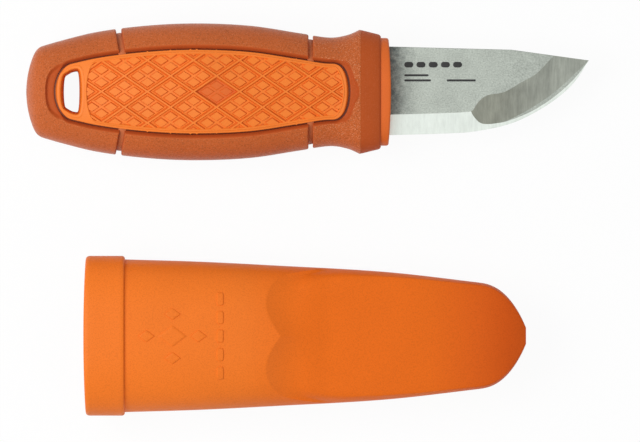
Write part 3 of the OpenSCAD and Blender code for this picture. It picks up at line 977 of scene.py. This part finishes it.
def panel(handle):
    """One side panel, closed below, with rows that run in from its outline."""
    start, end = handle.panel_start, handle.panel_end
    path = even_points(both_sides(handle.window(start, end, 1)), 640)
    # (distance in, drop) up the wall and over its rounded edge, then close rows where the border's line runs
    edge = [(0.0, 2.4), (0.0, 1.9), (0.06, 1.0), (0.38, 0.2), (0.48, 0.06), (0.62, 0.0)]
    border = [0.7 + 0.08 * i for i in range(14)]
    rows = 60
    last = len(edge) + len(border) + rows

    def place(column, row):
        rim = path[column]
        heart = Vector((min(max(rim.x, start + 9), end - 8), 0))
        reach = (heart - rim).length
        if row == 0:
            return handle.surface(heart, handle.panel_drop + edge[0][1])
        drop = 0.0
        if row <= len(edge):
            distance, drop = edge[row - 1]
        elif row <= len(edge) + len(border):
            distance = border[row - 1 - len(edge)]
        else:
            distance = mix(border[-1], reach, (row - len(edge) - len(border)) / rows)
        spot = rim.lerp(heart, distance / reach)
        return handle.surface(spot, handle.panel_drop + drop - frame_relief(handle, spot.x, spot.y))

    return closed(grid(len(path) - 1, last, place), 0.004)


def slot_cutter(handle):
    """A solid that cuts the lanyard slot and its lip out of the core and the panels."""
    outline = slot_outline(0.8)
    tall = handle.thickness

    def place(column, row):
        flat = outline[column] if row in (1, 2) else Vector((SLOT_MIDDLE, 0))
        return Vector((flat.x, flat.y, -tall if row < 2 else tall))

    return closed(grid(len(outline) - 1, 3, place))


def slot_liner(handle):
    """The lanyard slot's smooth lip and its tapering walls, on both faces."""
    # (spread of the outline, height over the panel) from outside the lip down to the slot's waist
    profile = [(1.0, -0.9), (1.0, -0.06), (0.92, 0.02), (0.6, 0.04), (0.35, 0.0), (0.18, -0.1), (0.06, -0.3),
               (0.0, -0.6), (-0.15, -1.6), (-0.35, -3.5), (-0.5, -6.0)]
    rings = [(slot_outline(spread), height) for spread, height in profile]
    waist = slot_outline(-0.6)
    columns = len(waist) - 1
    last = len(profile)

    def place(column, row):
        if row == last:
            return Vector((*waist[column][:2], 0))
        outline, height = rings[row]
        spot = outline[column]
        point = handle.surface(spot, handle.panel_drop)
        return Vector((spot.x, spot.y, max(point.z + height, 0.2)))

    half = mirrored(grid(columns, last, place))
    bmesh.ops.remove_doubles(half, verts=half.verts, dist=0.002)
    bmesh.ops.bridge_loops(half, edges=[edge for edge in half.edges if edge.is_boundary])
    return closed(half)


RIB_DROP = 0.65   # the ribs lie a little deeper than the panels
RIB_FOOT = 2.6    # and reach this far below the rubber


def groove_rib(handle, groove, side):
    """The strip of core that shows at the bottom of a groove, round from face to face."""
    rows, across_steps = 80, 8
    half_width = groove[1] / 2 + 0.25
    ends = math.radians(72)
    shares = [2 * i / across_steps - 1 for i in range(across_steps + 1)]
    top = [(half_width * share, handle.panel_drop + RIB_DROP + 0.12 * share**2) for share in shares]
    section = [(-half_width, RIB_FOOT)] + top + [(half_width, RIB_FOOT)]
    section.append(section[0])

    def place(column, row):
        offset, drop = (0, RIB_FOOT) if row in (0, rows + 2) else section[column]
        across, up = on_section(ends * (2 * min(max(row - 1, 0), rows) / rows - 1))
        half = handle.half(groove[0])
        x = groove_x(groove, offset, across * half, half)
        return Vector((x, side * across * (handle.half(x) - drop), up * (handle.thick(x) - drop)))

    rib = closed(grid(len(section) - 1, rows + 2, place))
    # the ribs take the duller colour of painted shade in the grooves
    return painted(rib, SHADED_RIBS)


def core_body(handle):
    """The core under the grips, its collar and its ribs."""
    drop = GRIP_DEPTH + 0.15    # leaves a little air under the rubber
    steps = [2.2, 2.8, 3.6, 5, 7] + [mix(10, handle.guard_at, i / 40) for i in range(41)] + [handle.collar_at]
    body = tube([(x, handle.half(x) - drop, handle.thick(x) - drop, SQUARE) for x in steps], 96)
    # the core under the grips gets the dark brown of painted shadow, seen deep in the gaps round the panels
    body = painted(cut(body, slot_cutter(handle)), PAINTED_SHADOW)
    half, thick = handle.collar_width / 2, handle.collar_thickness / 2 + COLLAR_RISE
    front = handle.handle_length
    rear = handle.collar_at - 2
    # (place, inset) of the collar's rings, up to its rounded front edge and in over its face
    profile = [(rear, 0), (mix(rear, front, 0.4), 0), (front - 0.6, 0), (front - 0.3, 0.06),
               (front - 0.1, 0.2), (front, 0.5), (front, 2.4)]
    collar = tube([(x, half - inset, thick - inset, COLLAR_SQUARE) for x, inset in profile], 96)
    for vert in collar.verts:
        vert.co.x -= COLLAR_BOW * (vert.co.y / half) ** 2
    # the collar gets the same darker colour, painted shade on the core's own plastic
    absorb(body, painted(collar, SHADED_COLLAR))
    for groove in (REAR_GROOVE, FRONT_GROOVE):
        for side in (-1, 1):
            absorb(body, groove_rib(handle, groove, side))
    return body


# ---- the blade ----

class Blade(Sizes):
    """The blade's outlines: x from the collar, y from the handle's middle line."""

    def __init__(self, group):
        super().__init__(group)
        long, deep, tip = self.blade_length, self.depth / 2, self.tip_rise
        self.clip_at = 0.61 * long
        self.edge_knots = [
            (0, -deep + 0.25),
            (0.27 * long, -deep + 0.65),
            (0.42 * long, -deep + 1.15),
            (0.6 * long, mix(-deep, tip, 0.16)),
            (0.72 * long, mix(-deep, tip, 0.3)),
            (0.84 * long, mix(-deep, tip, 0.5)),
            (0.93 * long, mix(-deep, tip, 0.72)),
            (long, tip - 0.05),
        ]
        self.hollow_from = 0.405 * long
        self.hollow_to = 0.83 * long
        # the hollow's upper and lower limits, (x, y), as the grinding wheel left them
        self.hollow_top = [(20.4, -5.4), (22.4, -2.4), (24.5, -0.9), (27.8, -0.3), (29.6, 0.3), (33.1, 2.4),
                           (36.7, 4.4), (38.8, 6.4), (40.6, 8.3), (41.8, 9.4)]
        self.hollow_foot = [(20.4, -5.4), (22.4, -7.7), (24.5, -8.2), (27.8, -7.8), (29.6, -7.3),
                            (33.1, -5.6), (36.7, -3.5), (40.3, -1.1), (43.8, 1.8), (47.4, 5.2), (50.3, 7.95)]

    def spine(self, x):
        deep = self.depth / 2
        if x < self.clip_at:
            return mix(deep + 0.25, deep - 0.55, max(x, 0) / self.clip_at)
        return mix(deep - 0.55, self.tip_rise, (x - self.clip_at) / (self.blade_length - self.clip_at))

    def edge(self, x):
        return curve(self.edge_knots, max(x, 0))

    def top(self, x):
        """Upper limit of the ground face: the bevel's top, then the hollow's."""
        low, high = self.edge(x), self.spine(x)
        plain = min(low + self.bevel, mix(low, high, 0.8))
        if x <= self.hollow_from:
            return plain
        if x >= self.hollow_to:
            return high
        return min(curve(self.hollow_top, x), high)

    def foot(self, x):
        """Lower limit of the hollow."""
        if x <= self.hollow_from:
            return self.top(x)
        return max(min(curve(self.hollow_foot, x), self.top(x)), self.edge(x))


def blade_mesh(blade):
    """The blade as one closed solid: flat, hollow and bevel are strips between its outlines."""
    thin = blade.thickness / 2
    steps = [-9.0, -4.0, -1.5] + [mix(0, blade.hollow_from, i / 26) for i in range(26)]
    steps += [mix(blade.hollow_from, blade.blade_length - 0.4, i / 60) for i in range(61)]
    steps += [blade.blade_length - 0.15, blade.blade_length]
    sharp = 0.03    # half thickness of the edge itself
    flat_rows, hollow_rows, bevel_rows = 8, 10, 6
    ends = (flat_rows, flat_rows + hollow_rows, flat_rows + hollow_rows + bevel_rows)

    def place(column, row):
        x = steps[column]
        high, low = blade.spine(x), blade.edge(x)
        top, foot = blade.top(x), blade.foot(x)
        taper = max(x / blade.blade_length - 0.5, 0) ** 1.5 * 2.83    # 0 up to the middle, 1 at the tip
        t = thin * mix(1, 0.25, taper)
        slope = (foot - low) / max(top - low, 0.001)
        foot_t = mix(sharp, t, slope) - 0.1 * t * ease((x - blade.hollow_from) / 4) * slope
        if row == 0:
            point = (high, 0)
        elif row == 1:
            point = (high, t - 0.12)
        elif row <= ends[0] + 1:
            share = (row - 2) / (ends[0] - 1)
            point = (mix(high - min(0.12, (high - top) / 2), top, share), t)
        elif row <= ends[1] + 1:
            share = (row - 1 - ends[0]) / hollow_rows
            sag = 0.05 * math.sin(math.pi * share) * ease((x - blade.hollow_from) / 4) * t
            point = (mix(top, foot, share), mix(t, foot_t, share) - sag)
        elif row <= ends[2] + 1:
            share = (row - 1 - ends[1]) / bevel_rows
            # towards the tip the bevel's upper rows take the flat's steel, a grey band of painted reflection
            painted_grey_band = 0.55 * ease((x - blade.hollow_from - 5) / 12)
            share = 2 * share * painted_grey_band if share <= 0.5 else mix(painted_grey_band, 1, 2 * share - 1)
            point = (mix(foot, low, share), mix(foot_t, sharp, share))
        else:
            point = (low - 0.01, 0)
        if x >= blade.blade_length:
            point = (blade.tip_rise, 0)
        return Vector((x, *point))

    def paint(_column, row):
        if row <= ends[0]:
            return 0
        if row <= ends[1]:
            return 1
        return 0 if row <= ends[1] + bevel_rows / 2 else 2

    mesh = grid(len(steps) - 1, ends[2] + 2, place, paint)
    closed(mirrored(mesh), 0.004)
    rim = [e for e in mesh.edges if e.is_boundary]
    bmesh.ops.holes_fill(mesh, edges=rim)
    bmesh.ops.recalc_face_normals(mesh, faces=mesh.faces)
    return mesh


def tang_mesh(blade):
    """The hidden tang, with the holes that lock the core round it."""
    long, deep, middle = 56, 13, -37
    hole_radius, hole_pitch, first_hole = 2.4, 17, -59
    tang = bmesh.new()
    bmesh.ops.create_cube(tang, size=1)
    bmesh.ops.scale(tang, vec=(long, deep, blade.thickness), verts=tang.verts)
    bmesh.ops.translate(tang, vec=(middle, 0, 0), verts=tang.verts)
    bmesh.ops.bevel(
        tang, geom=tang.edges[:], offset=0.3, segments=2, affect="EDGES", profile=0.5, material=-1,
    )
    for i in range(3):
        hole = bmesh.new()
        bmesh.ops.create_cone(
            hole, cap_ends=True, segments=48, radius1=hole_radius, radius2=hole_radius, depth=8,
        )
        bmesh.ops.translate(hole, vec=(first_hole + hole_pitch * i, 0, 0), verts=hole.verts)
        tang = cut(tang, hole)
    return tang


def etched_bar(face, start, end, y, half, columns=24):
    """One plain bar with round ends, a hair above the blade's face."""

    def place(column, row):
        x = mix(start, end, (1 - math.cos(math.pi * column / columns)) / 2)
        reach = half * min(end_round(x - start, half), end_round(end - x, half))
        edge_drop = 0.03 if row in (0, 3) or column in (0, columns) else 0
        side = (-1, -0.85, 0.85, 1)[row]
        return Vector((x, y + side * reach, face + 0.008 - edge_drop))

    return grid(columns, 3, place)


def etched_bars(blade):
    """Plain rounded bars etched on both sides of the blade."""
    start, pitch = 3.4, 3.1
    bars = [(start + pitch * i, start + 2.3 + pitch * i, 6.9, 0.8) for i in range(5)]
    bars += [(start, 9.6, 4.2, 0.3), (start, 10.2, 2.9, 0.3), (14.2, 21.6, 2.9, 0.3)]
    made = bmesh.new()
    for sizes in bars:
        absorb(made, etched_bar(blade.thickness / 2, *sizes))
    bmesh.ops.remove_doubles(made, verts=made.verts, dist=0.0005)
    bmesh.ops.solidify(made, geom=made.faces[:], thickness=0.05)
    return closed(mirrored(made), 0.0005)


# ---- the sheath ----

TOE = 12            # length of the rounded toe
MOUTH_BOW = 0.45    # how far the sides of the mouth lie behind its middle


class Sheath(Sizes):
    """The sheath's form: s from the mouth, y and z from its middle line."""

    def __init__(self, group):
        super().__init__(group)
        self.toe_from = self.sheath_length - TOE
        self.scoop_from = 46.5
        self.guard_at = 47.9
        body, guard, toe = self.mouth_width / 2 - self.band_step, self.guard_width / 2, self.toe_width / 2
        self.half_knots = [
            (self.band + 0.4, body),
            (29.3, mix(body, guard, 0.38)),
            (self.guard_at, guard),
            (mix(self.guard_at, self.toe_from, 0.55), mix(guard, toe, 0.45)),
            (self.toe_from, toe - 0.6),
            (self.sheath_length + 4, toe - 2.6),
        ]
        body_t = self.mouth_thickness / 2 - self.band_step
        self.body_knots = [
            (self.band, body_t), (self.scoop_from, body_t - 0.8), (80, body_t - 2.2), (120, body_t - 4.5),
        ]
        toe_t = self.toe_thickness / 2
        self.floor_knots = [
            (self.scoop_from, 12.0), (50.6, 11.0), (55.8, 9.9), (62.8, mix(10.35, toe_t, 0.45)),
            (82.5, mix(10.35, toe_t, 0.78)), (self.toe_from, toe_t + 0.2), (self.sheath_length + 4, toe_t),
        ]
        # how far past scoop_from the scoop's edge lies, from the middle (0) to the side (1)
        self.lobe_knots = [(0, 3.5), (0.12, 2), (0.28, 0.5), (0.45, -0.2), (0.65, 0.5), (0.79, 2.3),
                           (0.88, 5), (0.93, 8.5), (1, 15)]

    def toe_round(self, s):
        """Takes the toe in towards its end, which stays wide enough for the drain hole."""
        if s < self.toe_from:
            return 1.0
        return (1 - ((s - self.toe_from) / (TOE + 0.67)) ** 2.5) ** 0.85

    def half(self, s):
        if s <= self.band:
            return self.mouth_width / 2
        return curve(self.half_knots, s) * self.toe_round(s)

    def lag(self, ratio):
        """How much further along the scoop starts at a ratio of the half width: its edge has two lobes."""
        return curve(self.lobe_knots, min(abs(ratio), 1))

    def height(self, s, ratio):
        """Height of the outside over a point at a ratio of the half width."""
        if s <= self.band:
            return self.mouth_thickness / 2 * rise(ratio)
        dome = curve(self.body_knots, s) * rise(ratio)
        past = s - self.scoop_from - self.lag(ratio)
        toe = mix(1, self.toe_round(s), 0.6)
        if past <= 0:
            return dome * toe
        square = mix(8, 14, ease((s - 60) / 50))
        flat = curve(self.floor_knots, s) * rise(ratio, square) * (1 - 0.03 * ratio**2)
        bite = max(dome - 0.4 * past + 0.008 * past**2, 0.75 * min(flat, dome))
        return min(mix(bite, flat, ease(past / 18)), dome) * toe

    def surface(self, s, y, lift=0.0):
        return Vector((s, y, self.height(s, y / self.half(s)) + lift))


def sheath_shell(sheath):
    """Outside, drain hole and inside as one closed surface, whose rows follow the scoop's two lobes."""
    columns = 144
    length, band = sheath.sheath_length, sheath.band
    outer = [("band", s, inset) for s, inset in ((0, 0.95), (0.1, 0.5), (0.35, 0.2), (0.8, 0.04), (1.3, 0))]
    outer += [("band", s, 0) for s in (3, 5, 7, band - 1.3, band - 0.7)]
    outer += [("band", band - 0.3, 0.12), ("band", band - 0.05, 0.45), ("band", band, sheath.band_step)]
    before, scoop, after = 43, sheath.scoop_from, 62
    outer += [("body", mix(band + 0.15, before, i / 24), 0.0) for i in range(25)]
    outer += [("body", mix(before, scoop, i / 10), 0.0) for i in range(1, 11)]
    outer += [("body", mix(scoop, after, (i / 34) ** 1.2), 0.0) for i in range(1, 35)]
    outer += [("body", mix(after, sheath.toe_from, i / 16), 0.0) for i in range(1, 17)]
    outer += [("body", sheath.toe_from + TOE * (1 - (1 - i / 22) ** 1.9), 0.0) for i in range(1, 23)]
    # (place, half width, half thickness, squareness) of the drain hole, the blade's slot and the pocket
    drain, slot, slot_thick, flat = sheath.drain, 12.05, 2.3, 8
    inner = [(length - 0.4, drain + 0.5, drain + 0.5, 2), (length - 1.0, drain, drain, 2)]
    inner += [(length - 3.9, drain, drain, 2), (length - 4, 4, 2.2, 3), (length - 4.6, 7.5, slot_thick, 6)]
    inner += [(length - 7, 10, slot_thick, flat), (length - TOE, 11.8, slot_thick, flat)]
    inner += [(s, slot, slot_thick, flat) for s in (90, 70, 56.6)]
    pocket = [(55.8, 14.6, 8.3), (52, 15.3, 9.0), (sheath.guard_at, 16.05, 9.95), (42.9, 15.8, 9.9),
              (38, 15.9, 10.2), (20, 16.9, 10.9), (6, 17.6, 11.2), (1.2, 17.66, 11.25), (0.4, 17.8, 11.4),
              (0.08, 18.1, 11.7), (0.0, 18.5, 12.1)]
    inner += [(*size, SQUARE) for size in pocket]
    last = len(outer) + len(inner)

    def bowed(s, across):
        return s + MOUTH_BOW * across**2 * max(1 - s / band, 0)

    def place(column, row):
        angle = math.tau * column / columns
        if row == last:
            row = 0
        if row >= len(outer):
            s, half, thick, square = inner[row - len(outer)]
            across, up = on_section(angle, square)
            return Vector((bowed(s, across), half * across, thick * up))
        kind, s, inset = outer[row]
        across, up = on_section(angle)
        if kind == "band":
            half, thick = sheath.mouth_width / 2 - inset, sheath.mouth_thickness / 2 - inset
            return Vector((bowed(s, across), half * across, thick * up))
        hold = ease((s - 30) / 16.5) * (1 - ease((s - 50) / 35))
        s += sheath.lag(across) * hold
        return Vector((s, sheath.half(s) * across, math.copysign(sheath.height(s, across), up) if up else 0))

    return closed(grid(columns, last, place), 0.003)


MARK_ROOT = -0.15    # the marks' edges start inside the shell
EMBLEM_AT = 22.6     # the middle of the diamonds, from the mouth
BARS_AT = 34.7


def lozenge(sheath, centre, length, width, count):
    """A plain diamond that stands a little above the sheath's face."""

    def place(column, row):
        u, v = 2 * column / count - 1, 2 * row / count - 1
        s = centre[0] + (u + v) / 2 * length / 2
        y = centre[1] + (u - v) / 2 * width / 2
        inside = 1 - max(abs(u), abs(v))
        return sheath.surface(s, y, mix(MARK_ROOT, sheath.relief, ease(inside / 0.22)))

    return grid(count, count, place)


def bar(sheath, centre, length, width):
    """A plain bar across the sheath with round ends, a little above its face."""
    columns, rows = 10, 20

    def place(column, row):
        u, v = 2 * column / columns - 1, 2 * row / rows - 1
        y = centre[1] + v * width / 2
        reach = length / 2 * end_round(width / 2 - abs(y - centre[1]), length / 2)
        inside = min(1 - abs(u), (1 - abs(v)) * width / length)
        return sheath.surface(centre[0] + u * reach, y, mix(MARK_ROOT, sheath.relief, ease(inside / 0.4)))

    return grid(columns, rows, place)


def sheath_marks(sheath):
    """Plain diamonds and a column of five bars, moulded on the sheath's two faces."""
    marks = lozenge(sheath, (EMBLEM_AT, 0), 8, 6, 18)
    for side in (-1, 1):
        for centre in ((EMBLEM_AT, 5.6 * side), (EMBLEM_AT + 6.6 * side, 0)):
            absorb(marks, lozenge(sheath, centre, 4.6, 3.4, 12))
    for i in range(5):
        absorb(marks, bar(sheath, (BARS_AT, 4.7 * (i - 2)), 2.2, 3.7))
    bmesh.ops.remove_doubles(marks, verts=marks.verts, dist=0.001)
    bmesh.ops.recalc_face_normals(marks, faces=marks.faces)
    bmesh.ops.solidify(marks, geom=marks.faces[:], thickness=0.3)
    return closed(mirrored(marks), 0.001)


# ---- operators ----

class KNIFE_OT_blade(bpy.types.Operator):
    """Add the blade, its hidden tang and its plain etched marks"""
    bl_idname = "knife.blade"
    bl_label = "Blade"

    def execute(self, context):
        settings = context.scene.knife_blade
        blade = Blade(settings)
        place = KNIFE_PLACE + Vector((HANDLE_LENGTH, 0, 0))
        finishes = [flat_steel(blade.flat), hollow_steel(blade.hollow), bevel_steel(blade.ground)]
        piece("ground_blade", blade_mesh(blade), place, finishes, "knife", "steel", "blade", crease=3)
        piece("tang", tang_mesh(blade), place, finishes[:1], "knife", "steel", "blade", crease=30)
        marks = [etched_steel(blade.etching)]
        piece("etched_bars", etched_bars(blade), place, marks, "knife", "steel", "blade")
        return {"FINISHED"}


class KNIFE_OT_core(bpy.types.Operator):
    """Add the hard core with its collar, its two textured panels and the lanyard slot"""
    bl_idname = "knife.core"
    bl_label = "Hard core"

    def execute(self, context):
        handle = Handle(context.scene.knife_handle)
        # the darker copies of the plastic are painted shade: on steep faces and the collar, on the ribs, and
        # deep in the gaps
        plain = hard_plastic("hard_plastic", handle.plastic)
        relief = hard_plastic("shaded_plastic", handle.relief)
        ribs = hard_plastic("dusty_plastic", handle.groove)
        covered = hard_plastic("covered_plastic", handle.covered)
        finish = [plain, ribs, covered, relief]
        piece("core_and_collar", core_body(handle), KNIFE_PLACE, finish, "knife", "hard_core", "handle_core")
        finish = [plain, relief]
        faces = {"panel": cut(panel(handle), slot_cutter(handle)), "diamonds": lattice_field(handle)}
        for name, face in faces.items():
            back = face.copy()
            bmesh.ops.scale(back, vec=(1, 1, -1), verts=back.verts)
            bmesh.ops.reverse_faces(back, faces=back.faces)
            for side, mesh in (("upper", face), ("lower", back)):
                piece(f"{side}_{name}", mesh, KNIFE_PLACE, finish, "knife", "hard_core", "handle_core",
                      crease=28)
        piece("lanyard_liner", slot_liner(handle), KNIFE_PLACE, [plain], "knife", "hard_core", "handle_core")
        return {"FINISHED"}


class KNIFE_OT_grips(bpy.types.Operator):
    """Add the four soft grips round the core"""
    bl_idname = "knife.grips"
    bl_label = "Soft grips"

    def execute(self, context):
        handle = Handle(context.scene.knife_handle)
        # the second finish is smooth rubber, darker with painted shade
        finish = [
            soft_rubber("grained_rubber", handle.rubber, 0.12, 1),
            soft_rubber("smooth_rubber", handle.smooth, 0.02, 0.15),
        ]
        shapes = {
            "butt_grip": lambda: butt_end(handle),
            "upper_grip": lambda: side_grip(handle, 1),
            "lower_grip": lambda: side_grip(handle, -1),
            "guard_grip": lambda: guard_end(handle),
        }
        for node, shape in shapes.items():
            mesh = shape()
            for face in mesh.faces:
                face.material_index = int(is_smooth_and_shaded(handle, face.calc_center_median()))
            piece(f"soft_{node}", mesh, KNIFE_PLACE, finish, "knife", "soft_grip", node, crease=50)
        return {"FINISHED"}


class KNIFE_OT_sheath(bpy.types.Operator):
    """Add the moulded sheath and the plain marks on its faces"""
    bl_idname = "knife.sheath"
    bl_label = "Sheath"

    def execute(self, context):
        sheath = Sheath(context.scene.knife_sheath)
        finish = [shell_plastic(sheath.shell)]
        piece("sheath_shell", sheath_shell(sheath), SHEATH_PLACE, finish, "sheath", "sheath_shell", "sheath",
              crease=24)
        piece("sheath_marks", sheath_marks(sheath), SHEATH_PLACE, finish, "sheath", "sheath_shell", "sheath")
        return {"FINISHED"}


class KNIFE_OT_stage(bpy.types.Operator):
    """Add the floor, the white room, the lamps and the camera"""
    bl_idname = "knife.stage"
    bl_label = "Stage"

    def execute(self, context):
        scene = context.scene
        stage = scene.knife_stage
        scene.view_settings.view_transform = "Standard"
        add_camera(scene, stage)
        add_room(scene, stage)
        add_floor()
        add_lamp("key_lamp", stage.key_power, size=0.36, location=(-0.31, 0.02, 0.45))
        add_lamp("fill_lamp", stage.fill_power, size=0.4, location=(0.5, -0.35, 0.4))
        return {"FINISHED"}


VIEW_CENTRE = (0.00318, -0.00039)


def add_camera(scene, stage):
    """Straight above the object, with a long lens."""
    data = bpy.data.cameras.new("camera")
    data.lens = stage.focal
    distance = stage.reach * stage.focal / data.sensor_width
    data.clip_end = 10
    camera = bpy.data.objects.new("camera", data)
    camera.location = (*VIEW_CENTRE, stage.view_height + distance)
    scene.collection.objects.link(camera)
    scene.camera = camera


def add_room(scene, stage):
    """A white room, seen and reflected at full white, that lights the object more softly."""
    world = bpy.data.worlds.new("white_room")
    world.use_nodes = True
    scene.world = world
    nodes, links = world.node_tree.nodes, world.node_tree.links
    background = nodes["Background"]
    background.inputs["Color"].default_value = (*stage.world, 1)
    path = nodes.new("ShaderNodeLightPath")
    seen = path.outputs["Is Camera Ray"]
    for name in ("Is Glossy Ray", "Is Transmission Ray"):
        either = nodes.new("ShaderNodeMath")
        either.operation = "MAXIMUM"
        links.new(seen, either.inputs[0])
        links.new(path.outputs[name], either.inputs[1])
        seen = either.outputs[0]
    strength = nodes.new("ShaderNodeMapRange")
    strength.inputs["To Min"].default_value = stage.ambient
    strength.inputs["To Max"].default_value = 1.0
    links.new(seen, strength.inputs["Value"])
    links.new(strength.outputs["Result"], background.inputs["Strength"])


def add_floor():
    """A wide white floor, which is part of the stage."""
    mesh = bmesh.new()
    bmesh.ops.create_grid(mesh, x_segments=1, y_segments=1, size=3)
    data = bpy.data.meshes.new("floor")
    mesh.to_mesh(data)
    mesh.free()
    data.materials.append(floor_paper())
    floor = bpy.data.objects.new("floor", data)
    bpy.context.collection.objects.link(floor)


def add_lamp(name, strength, size, location):
    """A square soft lamp that faces the object."""
    data = bpy.data.lights.new(name, "AREA")
    data.energy = strength
    data.size = size
    lamp = bpy.data.objects.new(name, data)
    lamp.location = location
    lamp.rotation_euler = (-Vector(location)).to_track_quat("-Z", "Y").to_euler()
    bpy.context.collection.objects.link(lamp)


class KNIFE_PT_pieces(bpy.types.Panel):
    """Lists the pieces in the 3D view's sidebar"""
    bl_label = "Sheath Knife"
    bl_idname = "KNIFE_PT_pieces"
    bl_space_type = "VIEW_3D"
    bl_region_type = "UI"
    bl_category = "Sheath Knife"

    def draw(self, context):
        for group_name, operator in GROUPS.items():
            box = self.layout.box()
            box.operator(operator.bl_idname)
            group = getattr(context.scene, group_name, None)
            if group:
                for name in group.__annotations__:
                    box.prop(group, name)


GROUPS = {
    "knife_stage": KNIFE_OT_stage,
    "knife_blade": KNIFE_OT_blade,
    "knife_core": KNIFE_OT_core,
    "knife_handle": KNIFE_OT_grips,
    "knife_sheath": KNIFE_OT_sheath,
}
SETTINGS = {
    "knife_stage": KnifeStageSettings,
    "knife_blade": KnifeBladeSettings,
    "knife_handle": KnifeHandleSettings,
    "knife_sheath": KnifeSheathSettings,
}
CLASSES = (*SETTINGS.values(), *GROUPS.values(), KNIFE_PT_pieces)


def register():
    for cls in CLASSES:
        bpy.utils.register_class(cls)
    for name, group in SETTINGS.items():
        setattr(bpy.types.Scene, name, PointerProperty(type=group))


def unregister():
    for name in SETTINGS:
        delattr(bpy.types.Scene, name)
    for cls in reversed(CLASSES):
        bpy.utils.unregister_class(cls)


def main():
    register()
    bpy.ops.knife.stage()
    bpy.ops.knife.blade()
    bpy.ops.knife.core()
    bpy.ops.knife.grips()
    bpy.ops.knife.sheath()


if __name__ == "__main__":
    main()
